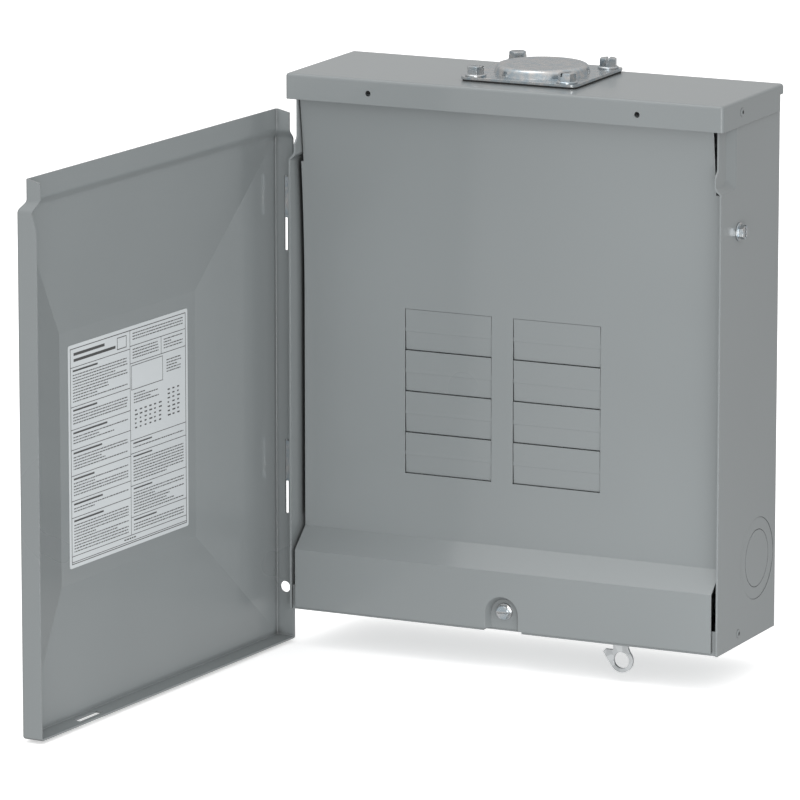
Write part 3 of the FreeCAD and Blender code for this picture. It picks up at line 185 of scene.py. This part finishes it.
def grey_paint():
    return enamel(Shader("grey_paint"))


def door_open_angle():
    """How far the door stands open at rest: the swing joint's way back to closed."""
    for joint in frame["record"]["behaviour"]["joints"]:
        if joint["name"] == "door_swing":
            return math.radians(-joint["range_deg"][0])


def along_door(angle):
    """Direction from the hinge to the free edge of a door that stands open at an angle."""
    return Vector((math.cos(angle), -math.sin(angle), 0.0))


def outside_of_door(angle):
    """Direction that the outer face of a door looks in when it stands open at an angle."""
    return Vector((-math.sin(angle), -math.cos(angle), 0.0))


PANEL_MARGIN = 4 * MM       # from the door's edges to the foot of its panel's slopes
BAND_HEIGHT = 20 * MM       # from the door's top edge to the foot of the upper slope
FLAT_MARGIN = 9 * MM        # from the label to the edge of the flat middle
SPRUNG = 9 * MM             # how much the paint's bump adds to the formed slopes
OUTSIDE_SHARE = 0.2         # of which this much shows from outside


def measured(s, direction, value):
    """Dot product of a direction and a vector value at every point of a surface."""
    inputs = {0: value, 1: direction}
    return s.add("ShaderNodeVectorMath", inputs, operation="DOT_PRODUCT").outputs["Value"]


def panel_rise(s):
    """Bump along the four slopes of the door's panel: down to -1 inside, low and positive outside."""
    turn = door_open_angle()
    along = along_door(turn)
    boxes = [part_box(node) for node in ("door", "door_label")]
    (free, hinge), (label_free, label_hinge) = [[corner.dot(along) for corner in box] for box in boxes]
    (low, high), (label_low, label_high) = [[corner.z for corner in box] for box in boxes]
    across = measured(s, along, s.place)
    up = s.add("ShaderNodeSeparateXYZ", {0: s.place}).outputs["Z"]
    slopes = [
        s.spread(across, hinge + PANEL_MARGIN, label_hinge - FLAT_MARGIN),
        s.spread(across, free - PANEL_MARGIN, label_free + FLAT_MARGIN),
        s.spread(up, low + PANEL_MARGIN, label_low - FLAT_MARGIN),
        s.spread(up, high - BAND_HEIGHT, label_high + FLAT_MARGIN),
    ]
    height = slopes[0]
    for slope in slopes[1:]:
        height = s.math("MINIMUM", height, slope)
    facing = measured(s, outside_of_door(turn), s.add("ShaderNodeTexCoord").outputs["Normal"])
    return s.math("MULTIPLY", height, s.spread(facing, -1.0, 1.0, -1.0, OUTSIDE_SHARE))


def door_paint():
    """The enamel on the door, with a bump that makes the panel's low slopes show."""
    s = Shader("door_paint")
    return enamel(s, panel_rise(s), SPRUNG)


def zinc_plating():
    """Bright zinc with faint bluish and yellowish clouds and fine scratches."""
    s = Shader("zinc_plating")
    cloud = s.noise(240.0, 3.0)
    color = s.mix(s.spread(cloud, 0.35, 0.65), (0.40, 0.46, 0.50, 1), (0.57, 0.56, 0.55, 1))
    scratch = s.noise(2600.0, 2.0, place=s.stretched((1.0, 0.15, 1.0)))
    rough = s.spread(scratch, 0.3, 0.7, 0.12, 0.3)
    normal = s.bump(scratch, 0.006 * MM, s.rounded(0.3 * MM))
    return s.finish(color=color, metallic=1.0, rough=rough, normal=normal)


def galvanised_steel():
    """Galvanised sheet with a soft spangle."""
    s = Shader("galvanised_steel")
    cells = s.add("ShaderNodeTexVoronoi", {"Vector": s.place, "Scale": 260.0}).outputs["Color"]
    tone = s.add("ShaderNodeRGBToBW", {"Color": cells}).outputs[0]
    color = s.mix(s.spread(tone, 0.2, 0.8), (0.50, 0.52, 0.53, 1), (0.64, 0.66, 0.67, 1))
    rough = s.spread(tone, 0.2, 0.8, 0.34, 0.5)
    normal = s.bump(s.noise(1500.0, 2.0), 0.008 * MM, s.rounded(0.3 * MM))
    return s.finish(color=color, metallic=1.0, rough=rough, normal=normal)


def tinned_aluminium():
    """Extruded and tin-plated bars: drawn lines along Z."""
    s = Shader("tinned_aluminium")
    lines = s.noise(1800.0, 2.0, place=s.stretched((1.0, 1.0, 0.04)))
    color = s.mix(s.spread(lines, 0.35, 0.65), (0.66, 0.67, 0.68, 1), (0.76, 0.77, 0.78, 1))
    normal = s.bump(lines, 0.008 * MM, s.rounded(0.4 * MM))
    rough = s.spread(lines, 0.3, 0.7, 0.25, 0.4)
    return s.finish(color=color, metallic=1.0, rough=rough, normal=normal)


def copper():
    """Bare copper with a slight tarnish."""
    s = Shader("copper")
    tarnish = s.spread(s.noise(160.0, 4.0), 0.42, 0.66)
    color = s.mix(tarnish, (0.78, 0.42, 0.28, 1), (0.42, 0.22, 0.15, 1))
    rough = s.spread(tarnish, 0.0, 1.0, 0.25, 0.5)
    return s.finish(color=color, metallic=1.0, rough=rough, normal=s.rounded(0.3 * MM))


def black_phenolic():
    """Moulded phenolic: fine grain and a dull shine."""
    s = Shader("black_phenolic")
    grain = s.noise(1200.0, 3.0)
    color = s.mix(grain, grey(0.022), grey(0.045))
    rough = s.spread(grain, 0.3, 0.7, 0.42, 0.6)
    normal = s.bump(grain, 0.02 * MM, s.rounded(0.5 * MM))
    return s.finish(color=color, rough=rough, normal=normal)


def gasket_rubber():
    """Closed-cell rubber with open pores on its cut edge."""
    s = Shader("gasket_rubber")
    pores = s.noise(1600.0, 2.0)
    color = s.mix(s.spread(pores, 0.4, 0.6), grey(0.02), grey(0.05))
    return s.finish(color=color, rough=0.8, normal=s.bump(pores, 0.08 * MM))


def label_vinyl():
    """Off-white label film: faint clouds and a soft gloss."""
    s = Shader("label_vinyl")
    cloud = s.noise(30.0, 3.0)
    color = s.mix(cloud, (0.57, 0.60, 0.62, 1), (0.62, 0.65, 0.66, 1))
    rough = s.spread(cloud, 0.3, 0.7, 0.35, 0.5)
    normal = s.bump(s.noise(500.0), 0.012 * MM)
    return s.finish(color=color, rough=rough, normal=normal)


def label_ink():
    """Dark grey print with slightly uneven coverage."""
    s = Shader("label_ink")
    color = s.mix(s.noise(2500.0, 2.0), grey(0.035), grey(0.10))
    return s.finish(color=color, rough=0.5)


MAKERS = {
    "grey_paint": grey_paint, "zinc_plating": zinc_plating, "galvanised_steel": galvanised_steel,
    "tinned_aluminium": tinned_aluminium, "copper": copper, "black_phenolic": black_phenolic,
    "gasket_rubber": gasket_rubber, "label_vinyl": label_vinyl,
}


def give_material(piece, material):
    piece.data.materials.clear()
    piece.data.materials.append(material)


def paint_nodes():
    """Every CAD node takes the material of its slot in the record."""
    made = {name: maker() for name, maker in MAKERS.items()}
    for row in frame["record"]["subparts"]:
        give_material(NODES[row["node"]], made[row["material_slot"]])
    give_material(NODES["door"], door_paint())


paint_nodes()


# ---- print on the door's label ------------------------------------------------------
LABEL_T = 0.2 * MM
INK_T = 0.03 * MM

# layout in millimetres from the label's top left corner
PRINT_SEED = 4
LINE = 0.4                  # width of the rules
BORDER = 0.5                # width of the outer border and of the symbol's frame
MARGIN = 2.4                # white around the outer border
DIVIDER = 68.0              # between the two columns
LEFT_RULES = (13.5, 37.0, 50.5, 62.5, 78.0, 93.0, 103.0)
RIGHT_RULES = (12.0, 22.5, 69.0, 77.0, 96.5, 115.5)
FOOTER_RULES = (126.0, 129.5)
FRAME_BOX = (69.5, 24.0, 104.5, 38.5)
NARROW_X = 106.0            # left edge of the narrow lists beside that box
HEADER_X = 6.0              # left end of the header bars
HEADER_BARS = ((5.0, 34.0), (8.6, 46.0))    # top and length of each
HEADER_H = 1.7
SYMBOL_BOX = (54.0, 4.6, 64.0, 11.4)
INDENT = 3.0                # between a column's edge and its text
HEADING_TOP = 1.6           # from a rule to the heading below it
TEXT_END = 0.8              # from the last row of text to the rule below it
TABLE_STEP = (5.4, 2.6)     # from mark to mark, along and down


class Print:
    """Ink on the label as thin boxes; u runs right and v down from its top left corner."""

    def __init__(self):
        low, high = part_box("door_label")
        turn = door_open_angle()
        self.across = -along_door(turn)
        self.out = -outside_of_door(turn)
        self.corner = Vector((low.x, low.y, high.z)) + Vector((LABEL_T * math.sin(turn), 0.0, 0.0))
        self.size = (high.z - low.z) / MM       # the label is square
        self.points = []
        self.faces = []

    def place(self, u, v, lift):
        return self.corner + self.across * u * MM - Vector((0.0, 0.0, v * MM)) + self.out * lift

    def bar(self, u0, v0, u1, v1):
        """One closed box of ink."""
        first = len(self.points)
        for lift in (0.0, INK_T):
            for u, v in ((u0, v0), (u1, v0), (u1, v1), (u0, v1)):
                self.points.append(self.place(u, v, lift))
        quads = [(3, 2, 1, 0), (4, 5, 6, 7), (0, 1, 5, 4), (1, 2, 6, 5), (2, 3, 7, 6), (3, 0, 4, 7)]
        self.faces += [tuple(first + k for k in quad) for quad in quads]

    def rule(self, u0, u1, v, width=LINE):
        self.bar(u0, v - width / 2, u1, v + width / 2)

    def upright(self, u, v0, v1, width=LINE):
        self.bar(u - width / 2, v0, u + width / 2, v1)

    def outline(self, u0, v0, u1, v1, width=LINE):
        self.rule(u0 - width / 2, u1 + width / 2, v0, width)
        self.rule(u0 - width / 2, u1 + width / 2, v1, width)
        self.upright(u0, v0 + width / 2, v1 - width / 2, width)
        self.upright(u1, v0 + width / 2, v1 - width / 2, width)

    def words(self, chance, u0, u1, v, height):
        """One row of word-like dashes."""
        u = u0
        while u < u1 - height:
            length = min(chance.uniform(1.2, 5.2) * height, u1 - u)
            self.bar(u, v, u + length, v + height)
            u += length + height * 0.8

    def paragraph(self, chance, u0, u1, v0, v1, height=0.62, pitch=1.75):
        """Rows of words between two heights; about every fourth row stops early."""
        rows = max(1, int((v1 - v0) / pitch))
        for row in range(rows):
            end = u1 if chance.random() < 0.72 else u0 + (u1 - u0) * chance.uniform(0.35, 0.8)
            self.words(chance, u0, end, v0 + row * pitch, height)

    def made(self):
        mesh = bpy.data.meshes.new("label_print")
        mesh.from_pydata(self.points, [], self.faces)
        piece = bpy.data.objects.new("label_print", mesh)
        bpy.context.scene.collection.objects.link(piece)
        give_material(piece, label_ink())
        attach(piece, "door")


def left_column(page, chance):
    """Header bars, then paragraphs between rules."""
    for v, length in HEADER_BARS:
        page.bar(HEADER_X, v, HEADER_X + length, v + HEADER_H)
    page.outline(*SYMBOL_BOX, BORDER)
    start = 5.0
    for top, end in zip(LEFT_RULES, LEFT_RULES[1:] + FOOTER_RULES[:1]):
        page.rule(MARGIN, DIVIDER, top)
        page.bar(start, top + HEADING_TOP, start + chance.uniform(22.0, 44.0), top + 2.7)
        page.paragraph(chance, start, DIVIDER - INDENT, top + 4.4, end - TEXT_END)


def right_column(page, chance):
    """Lists, an empty framed box, two small tables and paragraphs between rules."""
    right = page.size - MARGIN
    text = DIVIDER + INDENT
    middle = DIVIDER + 35.0
    first, second = RIGHT_RULES[:2]
    for rule in RIGHT_RULES:
        page.rule(DIVIDER, right, rule)
    page.paragraph(chance, text, right - INDENT, MARGIN + 2.0, first - TEXT_END)
    page.upright(middle, first, second)
    page.paragraph(chance, text, middle - INDENT, first + 2.0, second - TEXT_END)
    page.paragraph(chance, middle + INDENT, right - INDENT, first + 2.0, second - TEXT_END)
    page.outline(*FRAME_BOX)
    page.paragraph(chance, NARROW_X + 3.0, right - 5.0, 27.0, 36.0)
    page.paragraph(chance, DIVIDER + 4.0, NARROW_X - 6.0, 41.0, 49.0)
    small_table(page, chance, DIVIDER + 5.0, 51.0, 6, 5)
    small_table(page, chance, NARROW_X + 4.0, 45.0, 3, 7)
    bands = RIGHT_RULES[2:] + FOOTER_RULES[:1]
    for top, end in zip(bands, bands[1:]):
        page.bar(text, top + HEADING_TOP, text + chance.uniform(18.0, 40.0), top + 2.5)
        page.paragraph(chance, text, right - INDENT, top + 4.2, end - TEXT_END)


def small_table(page, chance, u, v, columns, rows):
    """Grid of short marks."""
    along, down = TABLE_STEP
    for row in range(rows):
        top = v + row * down
        for column in range(columns):
            start = u + column * along
            page.bar(start, top, start + chance.uniform(1.4, 3.4), top + 0.9)


def label_print():
    page = Print()
    chance = random.Random(PRINT_SEED)
    edge = page.size - MARGIN
    page.outline(MARGIN, MARGIN, edge, edge, BORDER)
    page.upright(DIVIDER, MARGIN, FOOTER_RULES[0])
    left_column(page, chance)
    right_column(page, chance)
    for rule in FOOTER_RULES:
        page.rule(MARGIN, edge, rule)
    page.words(chance, 60.0, 74.0, FOOTER_RULES[0] + 1.3, 0.8)
    page.made()


label_print()


# ---- stage --------------------------------------------------------------------------
FLOOR_DROP = 2 * MM         # the floor lies just below the lowest point of the object
FLOOR_HALF = 9.0
FLOOR_GLOW = 0.45
SKY_BELOW, SKY_LEVEL = 0.60, 0.50       # strength below and at the horizon
SKY_HIGH, SKY_FRONT = 1.8, 1.45         # times brighter overhead, and in front


def floor():
    z = CAD_BOX[0][2] - FLOOR_DROP
    corners = [(-1, -1), (1, -1), (1, 1), (-1, 1)]
    mesh = bpy.data.meshes.new("floor")
    mesh.from_pydata([(x * FLOOR_HALF, y * FLOOR_HALF, z) for x, y in corners], [], [(0, 1, 2, 3)])
    plane = bpy.data.objects.new("floor", mesh)
    bpy.context.scene.collection.objects.link(plane)
    s = Shader("floor")
    color = s.mix(s.noise(3.0, 2.0), grey(0.93), grey(0.95))
    paper = s.finish(color=color, rough=0.9, specular=0.0, glow_color=grey(1.0), glow=FLOOR_GLOW)
    give_material(plane, paper)
    plane.visible_diffuse = False
    plane.visible_glossy = False


def sky():
    """White studio: plain white to the camera, softly graded for everything else."""
    world = bpy.data.worlds.new("studio")
    world.use_nodes = True
    tree = world.node_tree
    nodes, links = tree.nodes, tree.links
    place = nodes.new("ShaderNodeTexCoord").outputs["Generated"]
    parts = nodes.new("ShaderNodeSeparateXYZ")
    links.new(place, parts.inputs[0])

    def graded(axis, low, high, start, end):
        """Smooth change from start to end as the direction's axis goes from low to high."""
        node = nodes.new("ShaderNodeMapRange")
        node.interpolation_type = "SMOOTHSTEP"
        for name, value in (("From Min", low), ("From Max", high), ("To Min", start), ("To Max", end)):
            node.inputs[name].default_value = value
        links.new(parts.outputs[axis], node.inputs["Value"])
        return node.outputs["Result"]

    def times(first, second):
        node = nodes.new("ShaderNodeMath")
        node.operation = "MULTIPLY"
        links.new(first, node.inputs[0])
        links.new(second, node.inputs[1])
        return node.outputs[0]

    above = graded("Z", 0.0, 0.9, 1.0, SKY_HIGH)
    height = times(above, graded("Z", -0.45, 0.05, SKY_BELOW, SKY_LEVEL))
    graded_light = times(height, graded("Y", -0.9, 0.4, SKY_FRONT, 1.0))
    pick = nodes.new("ShaderNodeMix")
    pick.data_type = "FLOAT"
    nodes["Background"].inputs["Color"].default_value = (1.0, 1.0, 1.0, 1.0)
    rays = nodes.new("ShaderNodeLightPath")
    links.new(rays.outputs["Is Camera Ray"], pick.inputs[0])
    links.new(graded_light, pick.inputs[2])
    pick.inputs[3].default_value = 1.0
    links.new(pick.outputs[0], nodes["Background"].inputs["Strength"])
    bpy.context.scene.world = world


def soft_light(name, place, aim, size, power):
    """Rectangular lamp that the camera doesn't see; power is in watts."""
    data = bpy.data.lights.new(name, "AREA")
    data.shape = "RECTANGLE"
    data.size, data.size_y = size
    data.energy = power
    lamp = bpy.data.objects.new(name, data)
    bpy.context.scene.collection.objects.link(lamp)
    lamp.location = place
    lamp.visible_camera = False
    lamp.rotation_euler = (Vector(aim) - Vector(place)).to_track_quat("-Z", "Y").to_euler()


CAMERA_AZIMUTH = 25.66      # degrees to the object's right of straight ahead
CAMERA_PITCH = 11.93        # degrees above level
CAMERA_DISTANCE = 4.224
CAMERA_AIM = (-0.0672, -0.090, 0.1373)
CAMERA_LENS = 315.0         # millimetres
CAMERA_SENSOR = 36.0        # millimetres


def camera():
    data = bpy.data.cameras.new("camera")
    data.lens = CAMERA_LENS
    data.sensor_width = CAMERA_SENSOR
    data.clip_end = 50.0
    eye = bpy.data.objects.new("camera", data)
    bpy.context.scene.collection.objects.link(eye)
    turn, pitch = math.radians(CAMERA_AZIMUTH), math.radians(CAMERA_PITCH)
    back = Vector((math.sin(turn) * math.cos(pitch), -math.cos(turn) * math.cos(pitch), math.sin(pitch)))
    eye.location = Vector(CAMERA_AIM) + CAMERA_DISTANCE * back
    eye.rotation_euler = (-back).to_track_quat("-Z", "Y").to_euler()
    bpy.context.scene.camera = eye


MIDDLE = (0.0, -0.1, 0.15)          # what the two broad lamps aim at
LOW_MIDDLE = (0.0, -0.1, 0.06)      # what the low lamp aims at


def studio():
    """Broad lamps above and in front, and a weak one low down in front of the box."""
    floor()
    sky()
    soft_light("top_light", place=(-0.4, -0.5, 2.2), aim=MIDDLE, size=(1.6, 1.2), power=8.0)
    soft_light("front_light", place=(1.0, -2.4, 0.3), aim=MIDDLE, size=(1.2, 1.0), power=14.0)
    soft_light("bounce_light", place=(0.35, -0.55, 0.0), aim=LOW_MIDDLE, size=(0.5, 0.3), power=1.8)
    camera()
    bpy.context.scene.view_settings.view_transform = "Standard"


studio()
